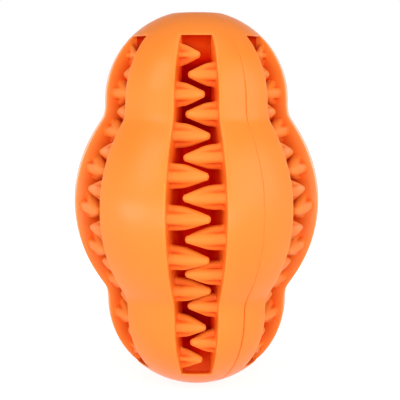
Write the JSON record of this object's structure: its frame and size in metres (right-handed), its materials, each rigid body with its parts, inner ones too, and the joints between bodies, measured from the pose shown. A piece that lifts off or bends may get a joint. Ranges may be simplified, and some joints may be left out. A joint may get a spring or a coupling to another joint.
{
  "type": "treat dispensing dog toy",
  "caption": "Upright three-lobed hollow rubber chew toy with ribs and deep lengthwise slots whose walls carry meshing cross-shaped teeth that hold treats.",
  "frame": {"origin": "middle of the toy's box at the level of the lower end face it stands on", "axes": "+Z along the toy's length, the front slot faces -Y, +X to the right as the front slot is looked at"},
  "size_m": [0.075, 0.073, 0.113],
  "materials": {
    "shell_rubber": "satin moulded orange rubber",
    "tooth_rubber": "satin moulded orange rubber"
  },
  "bodies": {
    "root": {"half_shell_left": "shell_rubber", "half_shell_right": "shell_rubber", "teeth_slot_1_left": "tooth_rubber", "teeth_slot_1_right": "tooth_rubber", "teeth_slot_2_left": "tooth_rubber", "teeth_slot_2_right": "tooth_rubber", "teeth_slot_3_left": "tooth_rubber", "teeth_slot_3_right": "tooth_rubber", "teeth_slot_4_left": "tooth_rubber", "teeth_slot_4_right": "tooth_rubber", "teeth_slot_5_left": "tooth_rubber", "teeth_slot_5_right": "tooth_rubber", "teeth_slot_6_left": "tooth_rubber", "teeth_slot_6_right": "tooth_rubber"}
  },
  "joints": []
}
